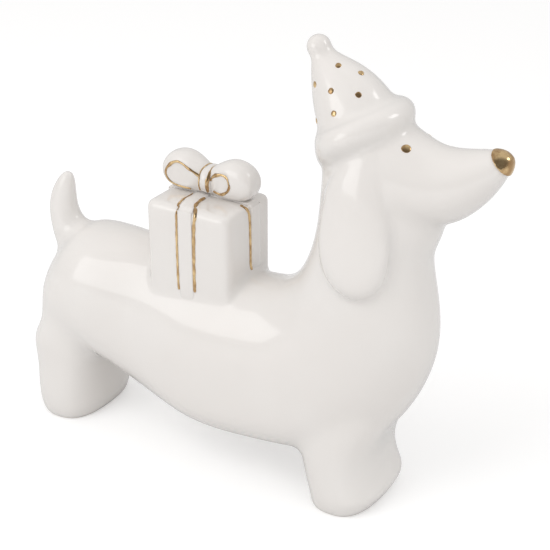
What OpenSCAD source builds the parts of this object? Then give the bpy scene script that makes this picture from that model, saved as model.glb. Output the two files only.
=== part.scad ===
// Glazed porcelain dachshund in a party hat, carrying a gift box on its back.
// X runs from the tail to the nose, Y across the dog and Z up from the floor.

/* [Body casting] */
// Length of the trunk from the rump to the breast
trunk_l = 148; // [130:1:170]
// Width of the trunk at the shoulders
trunk_w = 36; // [32:0.5:42]
// Height of the trunk and neck above the floor
trunk_h = 130; // [120:1:145]
// Thickness of the cast wall
wall = 3.5; // [2.5:0.1:4.5]
// Length of the head from the nape to the nose
head_l = 59; // [54:1:68]
// Width of the head
head_w = 27.6; // [24:0.2:32]
// Height of the head from the jaw to the crown
head_h = 31; // [28:0.5:35]
// Length of each leg block at the ground
leg_l = 25; // [20:0.5:30]
// Width of each leg block
leg_w = 38; // [34:0.5:42]
// Height at which the leg blocks vanish into the trunk
leg_h = 44; // [38:0.5:50]
// Width of the air hole under the belly
vent_d = 3; // [2:0.5:5]

/* [Tail] */
// Thickness of the tail at its root
tail_d = 12; // [8:0.5:14]
// Height of the tail
tail_l = 30; // [22:0.5:36]

/* [Ears] */
// Width of an ear from front to back
ear_w = 24; // [18:0.5:28]
// Thickness of an ear
ear_t = 7.2; // [5:0.2:10]
// Length of an ear from its root to its tip
ear_l = 45; // [36:0.5:52]

/* [Party hat] */
// Width of the rolled brim
brim_d = 32; // [29:0.5:36]
// Height of the rolled brim at the back
brim_h = 12.8; // [9:0.2:15]
// Width of the cone where it leaves the brim
cone_d = 26; // [22:0.5:28]
// Height of the cone above the middle of the brim
cone_h = 25.5; // [22:0.5:30]
// Width of the bobble on the tip
bobble_d = 7.4; // [5:0.2:10]
// Backward lean of the hat
hat_tilt = 29; // [20:1:35]

/* [Gift box] */
// Length of the box along the back
gift_l = 31.6; // [26:0.2:36]
// Width of the box across the back
gift_w = 25.8; // [20:0.2:29]
// Height of the box above the line of the back
gift_h = 22.2; // [16:0.2:30]
// Rounding of the box edges
gift_r = 1.8; // [1:0.1:3]
// Reach of the glaze that pools round the foot of the box
glaze_r = 1; // [0.6:0.1:2]
// Width of the ribbon bands
ribbon_w = 7; // [4:0.5:9]
// Thickness of the ribbon bands
ribbon_t = 0.6; // [0.4:0.1:1.2]

/* [Bow] */
// Length of the loop towards the tail
rear_loop_l = 17; // [10:0.5:18]
// Length of the loop towards the head
front_loop_l = 17; // [10:0.5:18]
// Height of the loops
loop_h = 12.8; // [9:0.2:15]
// Width of the bow across the box
bow_w = 9.8; // [7:0.2:13]
// Length of the knot along the box
knot_l = 4.6; // [3:0.2:7]
// Width of the rim round the dished end of a loop
loop_rim = 1.6; // [1:0.1:2.4]
// Depth of the dished end of a loop
loop_dish = 0.9; // [0.4:0.1:1.5]

/* [Gold lustre] */
// Thickness of a gold line or dot as brushed on
gold_t = 0.25; // [0.15:0.05:0.5]
// Thickness of the gold on the nose
nose_t = 0.5; // [0.3:0.1:1]
// Width of the brushed gold lines
line_w = 1; // [0.6:0.1:1.6]
// Width of the dots on the hat
dot_d = 2; // [1.2:0.1:3]
// Width of an eye
eye_d = 3; // [2:0.1:4]

/* [Hidden] */

// Facets round a form and rings from one row of its table to the next
form_sides = 24;
form_rings = 4;
leg_rings = 2;
cavity_sides = 16;
cavity_rings = 2;
ear_sides = 20;
ear_rings = 3;
small_sides = 16;
small_rings = 2;
ball_sides = 32;

// Long enough to cut right through any piece
overrun = trunk_h;

// A row of a form's table is one cross-section that stands on the middle plane of the dog:
// x and z of its one end, x and z of its other end, width, squareness and height of the widest point.
trunk_shares = [
    [-0.569, 0.358, -0.569, 0.338, 0.08, 2, 0.5],
    [-0.554, 0.427, -0.570, 0.277, 0.47, 2, 0.45],
    [-0.524, 0.482, -0.557, 0.208, 0.73, 2, 0.42],
    [-0.466, 0.544, -0.503, 0.172, 0.93, 2, 0.38],
    [-0.385, 0.571, -0.399, 0.158, 1.01, 2, 0.36],
    [-0.270, 0.563, -0.270, 0.119, 1.07, 2.2, 0.32],
    [-0.135, 0.535, -0.115, 0.095, 1.10, 2.4, 0.30],
    [0.000, 0.530, 0.054, 0.109, 1.10, 2.5, 0.33],
    [0.070, 0.541, 0.210, 0.125, 1.07, 2.3, 0.40],
    [0.120, 0.588, 0.324, 0.193, 1.05, 2.2, 0.46],
    [0.152, 0.662, 0.396, 0.312, 1.01, 2.2, 0.5],
    [0.168, 0.746, 0.433, 0.446, 0.97, 2.1, 0.5],
    [0.173, 0.823, 0.424, 0.569, 0.89, 2.1, 0.5],
    [0.176, 0.892, 0.408, 0.685, 0.81, 2.1, 0.5],
    [0.191, 0.954, 0.428, 0.783, 0.71, 2, 0.5],
    [0.232, 0.992, 0.380, 0.880, 0.48, 2, 0.5]];
head_shares = [
    [0.004, 0.613, 0.004, 0.387, 0.22, 2, 0.5],
    [0.055, 0.871, 0.072, 0.226, 0.65, 2, 0.5],
    [0.205, 0.984, 0.225, 0.058, 0.97, 2, 0.5],
    [0.383, 1.000, 0.417, 0.012, 1.00, 2, 0.5],
    [0.500, 0.908, 0.550, 0.000, 0.91, 2, 0.5],
    [0.617, 0.826, 0.668, 0.056, 0.80, 2, 0.5],
    [0.750, 0.838, 0.790, 0.180, 0.68, 2, 0.5],
    [0.867, 0.884, 0.903, 0.397, 0.51, 2, 0.5],
    [0.950, 0.897, 0.978, 0.630, 0.31, 2, 0.5],
    [1.000, 0.842, 1.004, 0.772, 0.09, 2, 0.5]];
// The legs run downwards, so their rows start at the front
hind_leg_shares = [
    [0.560, 1.000, -0.340, 1.000, 0.82, 2.2, 0.5],
    [0.580, 0.818, -0.424, 0.818, 0.91, 2.4, 0.5],
    [0.552, 0.636, -0.572, 0.659, 0.94, 2.6, 0.5],
    [0.500, 0.432, -0.522, 0.455, 0.95, 2.7, 0.5],
    [0.480, 0.261, -0.518, 0.273, 0.97, 2.8, 0.5],
    [0.480, 0.132, -0.508, 0.136, 0.97, 2.8, 0.5],
    [0.448, 0.059, -0.472, 0.059, 0.94, 2.8, 0.5],
    [0.412, 0.018, -0.434, 0.018, 0.90, 2.7, 0.5],
    [0.360, 0.000, -0.400, 0.000, 0.87, 2.7, 0.5]];
front_leg_shares = [
    [0.640, 0.955, -1.080, 0.909, 0.87, 2.2, 0.5],
    [0.460, 0.727, -0.840, 0.682, 0.92, 2.4, 0.5],
    [0.330, 0.568, -0.700, 0.523, 0.95, 2.6, 0.5],
    [0.360, 0.398, -0.600, 0.364, 0.97, 2.6, 0.5],
    [0.430, 0.245, -0.536, 0.227, 0.99, 2.7, 0.5],
    [0.520, 0.127, -0.484, 0.127, 1.00, 2.8, 0.5],
    [0.464, 0.057, -0.455, 0.057, 0.98, 2.8, 0.5],
    [0.418, 0.018, -0.434, 0.018, 0.94, 2.8, 0.5],
    [0.360, 0.000, -0.400, 0.000, 0.90, 2.8, 0.5]];
// The tail runs upwards, so its rows start at the rear
tail_shares = [
    [0.210, 0.000, 1.160, 0.167, 1.00, 2, 0.5],
    [0.050, 0.280, 0.980, 0.383, 0.88, 2, 0.5],
    [-0.010, 0.503, 0.880, 0.533, 0.78, 2, 0.5],
    [0.070, 0.690, 0.850, 0.673, 0.68, 2, 0.5],
    [0.240, 0.835, 0.850, 0.800, 0.56, 2, 0.5],
    [0.440, 0.945, 0.850, 0.905, 0.40, 2, 0.5],
    [0.620, 1.003, 0.800, 0.985, 0.17, 2, 0.5]];
// An ear's rows start at the front and carry their lean away from the head as an eighth value
ear_shares = [
    [0.583, 0.000, 0.417, -0.010, 0.42, 2, 0.5, 0.00],
    [0.729, -0.076, 0.271, -0.087, 0.67, 2, 0.5, 0.02],
    [0.850, -0.228, 0.138, -0.250, 0.83, 2.1, 0.5, 0.045],
    [0.925, -0.413, 0.033, -0.446, 0.92, 2.2, 0.5, 0.075],
    [0.965, -0.609, -0.008, -0.641, 0.97, 2.3, 0.5, 0.105],
    [0.942, -0.783, 0.067, -0.815, 1.00, 2.3, 0.5, 0.13],
    [0.833, -0.893, 0.233, -0.924, 0.86, 2.3, 0.5, 0.147],
    [0.692, -0.957, 0.417, -0.978, 0.44, 2, 0.5, 0.155]];
// A hat row gives height and reach at the back, height and reach at the front, and width
brim_shares = [
    [-0.58, 0.74, -0.37, 0.56, 0.52],
    [-0.54, 0.98, -0.36, 0.81, 0.72],
    [-0.34, 1.00, -0.20, 0.97, 0.87],
    [-0.02, 0.88, 0.02, 1.01, 0.99],
    [0.32, 0.80, 0.23, 0.95, 0.96],
    [0.56, 0.74, 0.40, 0.79, 0.84],
    [0.64, 0.54, 0.46, 0.56, 0.60]];
cone_shares = [
    [-0.22, 0.88, -0.22, 0.88, 0.88],
    [0.07, 1.00, 0.07, 1.00, 1.00],
    [0.28, 0.90, 0.28, 0.93, 0.92],
    [0.50, 0.82, 0.50, 0.80, 0.79],
    [0.72, 0.67, 0.72, 0.54, 0.58],
    [0.89, 0.53, 0.89, 0.23, 0.38],
    [1.00, 0.42, 1.00, 0.08, 0.24],
    [1.05, 0.30, 1.05, -0.05, 0.12]];
// A loop of the bow runs along X from its far end to the knot
loop_shares = [
    [0.000, 0.560, 0.000, 0.320, 0.56, 2.4, 0.5],
    [0.040, 0.720, 0.040, 0.190, 0.78, 2.7, 0.5],
    [0.180, 0.910, 0.180, 0.040, 0.95, 3, 0.5],
    [0.440, 1.000, 0.440, 0.000, 1.00, 3, 0.5],
    [0.700, 0.900, 0.700, 0.060, 0.94, 3, 0.5],
    [1.000, 0.700, 1.000, 0.180, 0.66, 2.6, 0.5]];
knot_shares = [
    [-0.50, 0.84, -0.50, 0.06, 0.70, 2.2, 0.5],
    [-0.38, 0.95, -0.38, 0.00, 0.92, 2.3, 0.5],
    [0.00, 1.00, 0.00, 0.00, 1.00, 2.4, 0.5],
    [0.38, 0.95, 0.38, 0.00, 0.92, 2.3, 0.5],
    [0.50, 0.84, 0.50, 0.06, 0.70, 2.2, 0.5]];
// Dots on the cone: height up the cone and turn round it from the nose side
hat_dot_shares = [
    [0.34, 0.24], [0.32, 0.39], [0.42, 0.11], [0.58, 0.22], [0.62, 0.01], [0.71, 0.36],
    [0.80, 0.11], [0.31, 0.57], [0.55, 0.50], [0.36, 0.74], [0.42, 0.86], [0.58, 0.68],
    [0.62, 0.84], [0.80, 0.62]];

// Where the forms meet, as shares of the form that carries them.
// The trunk itself lies so that the frame is midway between the tail and the nose.
trunk_share = 0.01182;
hind_leg_share = -0.5;
front_leg_share = 0.257;
tail_root_share = [-0.568, 0, 0.454];
head_root_share = [0.169, 0, 0.769];
ear_root_share = [0.133, -0.407, 0.758];
eye_share = [0.506, 0, 0.605];
// The eyes look outwards and up
eye_lift = 45;
hat_root_share = [0.208, 0, 0.826];
// The tip of the cone bends back by this share of its radius
tip_bend_share = 0.17;
// The bobble stands this share of its width above the tip
bobble_rise_share = 0.27;
gift_place_share = [-0.123, 0, 0.54];
// The box reaches down into the back and widens towards its foot by these shares of its width
gift_root_share = 0.7;
gift_flare_share = 0.015;
ribbon_offset_share = [-0.01, 0.1];
// Width of the knot against the bow and its height against the loops
knot_share = [1.08, 0.76];
// An inset outline of a loop loses this many insets of length, so that it still runs into the knot
inset_share = 1.5;
// The slope of the cone under a dot is taken over this share of its height and turn
dot_step_share = 0.01;
// Two balls bound the gold of the nose: place along, place up and radius against the head
nose_shares = [[1.02, 0.92, 0.13], [0.98, 0.73, 0.03]];

trunk_at = [trunk_l * trunk_share, 0, 0];
tail_at = trunk_at + [trunk_l * tail_root_share.x, 0, trunk_h * tail_root_share.z];
head_at = trunk_at + [trunk_l * head_root_share.x, 0, trunk_h * head_root_share.z];
ear_at = head_at + [head_l * ear_root_share.x, head_w * ear_root_share.y, head_h * ear_root_share.z];
hat_at = head_at + [head_l * hat_root_share.x, 0, head_h * hat_root_share.z];
eye_at = head_at + [head_l * eye_share.x, 0, head_h * eye_share.z];
gift_at = trunk_at + [trunk_l * gift_place_share.x, 0, trunk_h * gift_place_share.z];
gift_top = gift_at.z + gift_h;
gift_root = gift_w * gift_root_share;
gift_flare = gift_w * gift_flare_share;
ribbon_at = [gift_at.x + gift_l * ribbon_offset_share.x, gift_w * ribbon_offset_share.y, gift_top + ribbon_t];
knot_w = bow_w * knot_share.x;
knot_h = loop_h * knot_share.y;
// Floor of the dished ends, from the middle of a loop
dish_floor = bow_w / 2 - loop_dish;

// Smooth curve through four rows, from the second to the third
function curve(a, b, c, d, t) =
    b + ((c - a) * t + (2 * a - 5 * b + 4 * c - d) * t * t + (3 * b - a - 3 * c + d) * t * t * t) / 2;
function row(rows, i) = rows[max(0, min(len(rows) - 1, i))];
function row_at(rows, t) =
    let (i = floor(t)) curve(row(rows, i - 1), row(rows, i), row(rows, i + 1), row(rows, i + 2), t - i);

// Table of shares turned into real places and sizes
function placed(shares, at, size) = [for (s = shares) [
    at.x + size.x * s[0], at.z + size.z * s[1],
    at.x + size.x * s[2], at.z + size.z * s[3],
    size.y * s[4] / 2, s[5], s[6], at.y - size.z * (s[7] == undef ? 0 : s[7])]];
function hat_point(along, out) = [
    hat_at.x - sin(hat_tilt) * along + cos(hat_tilt) * out,
    hat_at.z + cos(hat_tilt) * along + sin(hat_tilt) * out];
function hat_rows(shares, height, width) = [for (s = shares)
    let (back = hat_point(height * s[0], -width * s[1] / 2), front = hat_point(height * s[2], width * s[3] / 2))
    [back.x, back.y, front.x, front.y, width * s[4] / 2, 2, 0.5, 0]];

// Rows moved out by a thickness, or in where it is negative
function grown(rows, by) = [for (r = rows)
    let (reach = [r[0] - r[2], r[1] - r[3]], step = reach / norm(reach) * by)
    [r[0] + step.x, r[1] + step.y, r[2] - step.x, r[3] - step.y, r[4] + by, r[5], r[6], r[7]]];
function chosen(rows, first, last) = [for (i = [first : last]) rows[i]];

// One cross-section as a ring of points
function rounded(v, square) = sign(v) * pow(abs(v), 2 / square);
function ring(r, sides) = let (
    top = [r[0], r[7], r[1]],
    foot = [r[2], r[7], r[3]],
    middle = foot + (top - foot) * r[6])
    [for (k = [0 : sides - 1]) let (
        turn = 360 * k / sides,
        lift = rounded(sin(turn), r[5]))
        middle + (lift > 0 ? top - middle : middle - foot) * lift
            + [0, rounded(cos(turn), r[5]) * r[4], 0]];

// Closed form through all the rows of a table
module form(rows, sides = form_sides, rings = form_rings) {
    count = (len(rows) - 1) * rings;
    points = [for (i = [0 : count]) each ring(row_at(rows, i / rings), sides)];
    walls = [for (i = [0 : count - 1], k = [0 : sides - 1])
        let (a = i * sides + k, b = i * sides + (k + 1) % sides)
        each [[a, b + sides, b], [a, a + sides, b + sides]]];
    first = [for (k = [0 : sides - 1]) k];
    last = [for (k = [sides - 1 : -1 : 0]) count * sides + k];
    polyhedron(points, concat(walls, [first, last]));
}

trunk_rows = placed(trunk_shares, trunk_at, [trunk_l, trunk_w, trunk_h]);
head_rows = placed(head_shares, head_at, [head_l, head_w, head_h]);
hind_rows = placed(hind_leg_shares, trunk_at + [trunk_l * hind_leg_share, 0, 0], [leg_l, leg_w, leg_h]);
front_rows = placed(front_leg_shares, trunk_at + [trunk_l * front_leg_share, 0, 0], [leg_l, leg_w, leg_h]);
tail_rows = placed(tail_shares, tail_at, [tail_d, tail_d, tail_l]);
ear_rows = placed(ear_shares, ear_at, [ear_w, ear_t, ear_l]);
brim_rows = hat_rows(brim_shares, brim_h, brim_d);
cone_rows = hat_rows(cone_shares, cone_h, cone_d);

// Trunk and head without legs, which carry the loose castings
module trunk_and_head() {
    form(trunk_rows);
    form(head_rows);
}

module body_cavity() {
    form(grown(chosen(trunk_rows, 2, 14), -wall), cavity_sides, cavity_rings);
    form(grown(chosen(head_rows, 1, 6), -wall), cavity_sides, cavity_rings);
    form(grown(chosen(hind_rows, 0, 5), -wall), cavity_sides, cavity_rings);
    form(grown(chosen(front_rows, 0, 5), -wall), cavity_sides, cavity_rings);
}

// Slip-cast body: trunk, neck, head and the two leg blocks in one hollow piece
module body() {
    color("whitesmoke")
    difference() {
        union() {
            trunk_and_head();
            form(hind_rows, rings = leg_rings);
            form(front_rows, rings = leg_rings);
        }
        body_cavity();
        // Air hole in the belly
        translate([gift_at.x, 0, 0])
        cylinder(h = gift_at.z / 2, d = vent_d, $fn = ball_sides);
        // Hidden air holes into the gift box and the hat
        translate([gift_at.x, 0, gift_at.z - gift_root])
        cylinder(h = gift_h + gift_root, d = vent_d, $fn = ball_sides);
        translate(hat_at)
        rotate([0, -hat_tilt, 0])
        translate([0, 0, -head_h / 2])
        cylinder(h = cone_h, d = vent_d, $fn = ball_sides);
    }
}

module tail() {
    color("whitesmoke")
    difference() {
        form(tail_rows, small_sides, ear_rings);
        form(trunk_rows);
        form(hind_rows, rings = leg_rings);
    }
}

module ear() {
    color("whitesmoke")
    difference() {
        form(ear_rows, ear_sides, ear_rings);
        trunk_and_head();
        form(brim_rows, rings = ear_rings);
    }
}

module hat_brim() {
    color("whitesmoke")
    difference() {
        form(brim_rows, rings = ear_rings);
        form(cone_rows, rings = ear_rings);
        trunk_and_head();
    }
}

module hat_cone() {
    color("whitesmoke")
    difference() {
        form(cone_rows, rings = ear_rings);
        form(grown(chosen(cone_rows, 0, 4), -wall), cavity_sides, cavity_rings);
        trunk_and_head();
    }
}

module bobble_ball(grow = 0) {
    tip = hat_point(cone_h + bobble_d * bobble_rise_share, -cone_d / 2 * tip_bend_share);
    translate([tip.x, 0, tip.y])
    sphere(d = bobble_d + 2 * grow, $fn = ball_sides);
}

module hat_bobble() {
    color("whitesmoke")
    difference() {
        bobble_ball();
        form(cone_rows, rings = ear_rings);
    }
}

// Box with rounded edges, sunk into the back as far as its root
module gift_solid(grow = 0) {
    edge_r = gift_r + max(grow, 0);
    inset = edge_r - grow;
    half_l = gift_l / 2 - inset;
    half_w = gift_w / 2 - inset;
    hull()
    for (side_x = [-1, 1], side_y = [-1, 1]) {
        translate([gift_at.x + side_x * half_l, side_y * half_w, gift_top - inset])
        sphere(r = edge_r, $fn = small_sides);
        translate([
            gift_at.x + side_x * (half_l + gift_flare),
            side_y * (half_w + gift_flare),
            gift_at.z - gift_root])
        cylinder(r = edge_r, h = gift_r, $fn = small_sides);
    }
}

// What the ribbons stop short of: the back with the glaze that runs down to it
module back_with_glaze() {
    form(grown(trunk_rows, glaze_r));
}

module gift_box() {
    color("whitesmoke")
    difference() {
        gift_solid();
        gift_solid(grow = -wall);
        form(trunk_rows);
    }
}

// Slabs that cut the ribbon bands out of a thicker box
module along_slab(width) {
    translate([ribbon_at.x - overrun / 2, ribbon_at.y - width / 2, 0])
    cube([overrun, width, overrun]);
}

module across_slab(width) {
    translate([ribbon_at.x - width / 2, -overrun / 2, 0])
    cube([width, overrun, overrun]);
}

module ribbon_along() {
    color("white")
    difference() {
        intersection() {
            gift_solid(grow = ribbon_t);
            along_slab(ribbon_w);
        }
        gift_solid();
        back_with_glaze();
    }
}

module ribbon_across() {
    color("white")
    difference() {
        intersection() {
            gift_solid(grow = ribbon_t);
            across_slab(ribbon_w);
        }
        gift_solid();
        along_slab(ribbon_w);
        back_with_glaze();
    }
}

knot_rows = placed(knot_shares, ribbon_at, [knot_l, knot_w, knot_h]);

module loop_form(length, grow = 0) {
    rows = placed(loop_shares, [-length, 0, 0], [length, bow_w, loop_h]);
    form(grown(rows, grow), small_sides, small_rings);
}

// Outline of a loop seen from its end face, drawn in from the edge by an inset
module loop_outline(length, inset) {
    rows = placed(loop_shares, [-length + inset, 0, inset],
        [length - inset * inset_share, bow_w, loop_h - 2 * inset]);
    places = [for (i = [0 : (len(rows) - 1) * small_rings]) row_at(rows, i / small_rings)];
    backwards = [for (i = [len(places) - 1 : -1 : 0]) places[i]];
    polygon(concat([for (r = places) [r[0], r[1]]], [for (r = backwards) [r[2], r[3]]]));
}

// Plate of an outline on the floor of each dished end
module dish_plates(thickness) {
    for (side = [-1, 1])
    translate([0, side > 0 ? dish_floor + thickness : -dish_floor, 0])
    rotate([90, 0, 0])
    linear_extrude(height = thickness)
    children();
}

module loop_dished(length) {
    difference() {
        loop_form(length);
        dish_plates(bow_w) loop_outline(length, loop_rim);
    }
}

module loop_place(turn) {
    translate(ribbon_at)
    rotate([0, 0, turn])
    children();
}

module bow_loop_rear() {
    color("white")
    difference() {
        loop_place(0) loop_dished(rear_loop_l);
        form(knot_rows, small_sides, small_rings);
    }
}

module bow_loop_front() {
    color("white")
    difference() {
        loop_place(180) loop_dished(front_loop_l);
        form(knot_rows, small_sides, small_rings);
    }
}

module bow_knot() {
    color("white")
    form(knot_rows, small_sides, small_rings);
}

// Heart shape with its point at the bottom that bounds the gold of the nose
module nose_region() {
    hull()
    for (ball = nose_shares) {
        translate(head_at + [head_l * ball[0], 0, head_h * ball[1]])
        sphere(r = head_l * ball[2], $fn = small_sides);
    }
}

module nose_gold() {
    color("goldenrod")
    difference() {
        intersection() {
            translate([nose_t, 0, 0])
            form(grown(head_rows, nose_t));
            nose_region();
        }
        form(head_rows);
    }
}

module eye_gold() {
    color("goldenrod")
    difference() {
        intersection() {
            form(grown(head_rows, gold_t));
            translate(eye_at)
            rotate([90 - eye_lift, 0, 0])
            cylinder(h = head_w, d = eye_d, $fn = small_sides);
        }
        trunk_and_head();
    }
}

// Point on the cone by its height share and its turn from the nose side
function cone_point(height, turn) = let (
    heights = [for (i = [0 : len(cone_shares) - 1]) [cone_shares[i][0], i]],
    r = row_at(cone_rows, lookup(height, heights)),
    reach = [r[2] - r[0], 0, r[3] - r[1]] / 2)
    [r[0], 0, r[1]] + reach * (1 + cos(360 * turn)) - [0, r[4] * sin(360 * turn), 0];

// Round dots of gold that lie flat on the cone
module hat_dots() {
    color("goldenrod")
    for (dot = hat_dot_shares) {
        height = dot[0];
        turn = dot[1];
        climb = cone_point(height + dot_step_share, turn) - cone_point(height - dot_step_share, turn);
        girth = cone_point(height, turn + dot_step_share) - cone_point(height, turn - dot_step_share);
        normal = cross(climb, girth);
        translate(cone_point(height, turn))
        rotate([0, acos(normal.z / norm(normal)), atan2(normal.y, normal.x)])
        cylinder(h = gold_t, d = dot_d, $fn = small_sides);
    }
}

// Two brushed lines, one along each edge of a ribbon band
module ribbon_lines() {
    color("goldenrod")
    difference() {
        intersection() {
            gift_solid(grow = ribbon_t + gold_t);
            union() {
                difference() {
                    along_slab(ribbon_w);
                    along_slab(ribbon_w - 2 * line_w);
                }
                difference() {
                    across_slab(ribbon_w);
                    across_slab(ribbon_w - 2 * line_w);
                }
            }
        }
        gift_solid(grow = ribbon_t);
        back_with_glaze();
        form(knot_rows, small_sides, small_rings);
        loop_place(0) loop_form(rear_loop_l);
        loop_place(180) loop_form(front_loop_l);
    }
}

// Gold line on the floor of both dished ends of a loop, just clear of their rim
module loop_line(length) {
    inset = loop_rim + gold_t;
    dish_plates(gold_t)
    difference() {
        loop_outline(length, inset);
        loop_outline(length, inset + line_w);
    }
}

module bow_lines() {
    color("goldenrod")
    difference() {
        union() {
            loop_place(0) loop_line(rear_loop_l);
            loop_place(180) loop_line(front_loop_l);
        }
        form(knot_rows, small_sides, small_rings);
    }
}

module knot_lines() {
    color("goldenrod")
    difference() {
        intersection() {
            form(grown(knot_rows, gold_t), small_sides, small_rings);
            for (side = [-1, 1])
            translate([ribbon_at.x + side * (knot_l - line_w) / 2 - line_w / 2, -overrun / 2, ribbon_at.z])
            cube([line_w, overrun, overrun]);
        }
        form(knot_rows, small_sides, small_rings);
        loop_place(0) loop_form(rear_loop_l, gold_t);
        loop_place(180) loop_form(front_loop_l, gold_t);
    }
}

body();
tail();
mirror([0, 1, 0]) ear();  // ear_left
ear();  // ear_right
hat_brim();
hat_cone();
hat_bobble();
gift_box();
ribbon_along();
ribbon_across();
bow_loop_rear();
bow_loop_front();
bow_knot();
nose_gold();
mirror([0, 1, 0]) eye_gold();  // eye_gold_left
eye_gold();  // eye_gold_right
hat_dots();
ribbon_lines();
bow_lines();
knot_lines();
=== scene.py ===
import math
import random

import bpy
from mathutils import Matrix, Vector
from mathutils.bvhtree import BVHTree


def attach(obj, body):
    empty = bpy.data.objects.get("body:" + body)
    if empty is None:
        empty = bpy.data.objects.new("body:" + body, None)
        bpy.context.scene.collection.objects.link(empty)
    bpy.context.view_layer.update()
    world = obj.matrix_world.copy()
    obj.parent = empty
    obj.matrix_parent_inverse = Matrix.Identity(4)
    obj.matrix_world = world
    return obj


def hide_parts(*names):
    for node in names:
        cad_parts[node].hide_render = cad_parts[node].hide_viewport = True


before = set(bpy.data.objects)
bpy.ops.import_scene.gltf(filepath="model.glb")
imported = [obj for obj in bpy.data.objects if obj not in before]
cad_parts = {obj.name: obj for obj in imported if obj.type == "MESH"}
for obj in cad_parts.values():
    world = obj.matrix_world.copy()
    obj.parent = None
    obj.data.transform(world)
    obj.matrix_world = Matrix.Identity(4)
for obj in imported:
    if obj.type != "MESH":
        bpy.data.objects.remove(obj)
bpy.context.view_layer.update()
bpy.ops.object.select_all(action="DESELECT")

# Trunk and neck
# One hollow slip casting of warm white porcelain, with the head and the leg blocks in the same mould.
# Here it is swept as soft clay through its sections; the glaze is laid over all the clay further down.
TRUNK_AT = (0.00175, 0, 0)
TRUNK_SIZE = (0.148, 0.036, 0.130)
TRUNK_SHARES = [
    (-0.569, 0.358, -0.569, 0.338, 0.08),
    (-0.554, 0.427, -0.570, 0.277, 0.48),
    (-0.524, 0.482, -0.557, 0.208, 0.78),
    (-0.466, 0.550, -0.503, 0.200, 0.99),
    (-0.385, 0.560, -0.399, 0.194, 1.05),
    (-0.270, 0.563, -0.270, 0.126, 0.94),
    (-0.135, 0.535, -0.115, 0.095, 1.12),
    (0.000, 0.530, 0.054, 0.109, 1.14),
    (0.070, 0.541, 0.210, 0.125, 1.10),
    (0.120, 0.588, 0.324, 0.193, 1.06),
    (0.152, 0.662, 0.396, 0.312, 1.01),
    (0.168, 0.746, 0.433, 0.446, 0.97),
    (0.173, 0.823, 0.424, 0.569, 0.89),
    (0.176, 0.892, 0.408, 0.685, 0.81),
    (0.191, 0.954, 0.443, 0.790, 0.71),
    (0.232, 0.992, 0.380, 0.880, 0.48)]
TRUNK_SQUARES = [2, 2, 2, 2.1, 2.2, 2, 2.1, 2.4, 2.4, 2.2, 2.15, 2.1, 2.1, 2.1, 2, 2]
TRUNK_WIDEST_SHARES = [0.5, 0.46, 0.44, 0.42, 0.40, 0.33, 0.24, 0.26, 0.35, 0.44] + 6 * [0.5]
clay = {}


def rows_at(shares, place, size, square=2.0, widest=0.5):
    """
    Rows of a form: the outer and the inner end of each section, its half width, its place across,
    how square it is and the height of its widest point.
    """
    return [(
        Vector((place[0] + size[0] * s[0], place[2] + size[2] * s[1])),
        Vector((place[0] + size[0] * s[2], place[2] + size[2] * s[3])),
        size[1] * s[4] / 2,
        place[1] - size[2] * (s[5] if len(s) > 5 else 0),
        square[i] if isinstance(square, list) else square,
        widest[i] if isinstance(widest, list) else widest) for i, s in enumerate(shares)]


def on_curve(p, q, r, s, t):
    """Value at a share t of the way from q to r, on a smooth curve through p, q, r and s."""
    rise = (r - p) * t
    bend = (2 * p - 5 * q + 4 * r - s) * t * t
    twist = (3 * q - p - 3 * r + s) * t ** 3
    return q + (rise + bend + twist) / 2


def smoothed(rows, steps):
    """The same rows with more rows between them along a smooth curve."""
    out = []
    for i in range(len(rows) - 1):
        four = [rows[min(max(i + k, 0), len(rows) - 1)] for k in (-1, 0, 1, 2)]
        for step in range(steps):
            out.append(tuple(on_curve(*values, step / steps) for values in zip(*four)))
    return out + [rows[-1]]


def finish_with(piece, kind, **settings):
    """Adds one modifier to a piece, sets it and applies it."""
    bpy.ops.object.select_all(action="DESELECT")
    piece.select_set(True)
    bpy.context.view_layer.objects.active = piece
    bpy.ops.object.modifier_add(type=kind)
    modifier = piece.modifiers[-1]
    for setting, value in settings.items():
        setattr(modifier, setting, value)
    bpy.ops.object.modifier_apply(modifier=modifier.name)


def squared(share, power):
    """A share of the reach of a ring, pushed outwards to make the ring squarer."""
    return math.copysign(abs(share) ** power, share)


def reshaped(lift, out, was, now):
    """Place on a ring after a change of its squareness and of the height of its widest point."""
    middle = 2 * was[1] - 1
    lift = squared((lift - middle) / (1 - middle if lift > middle else 1 + middle), was[0] / now[0])
    middle = 2 * now[1] - 1
    return middle + lift * (1 - middle if lift > 0 else 1 + middle), squared(out, was[0] / now[0])


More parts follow.
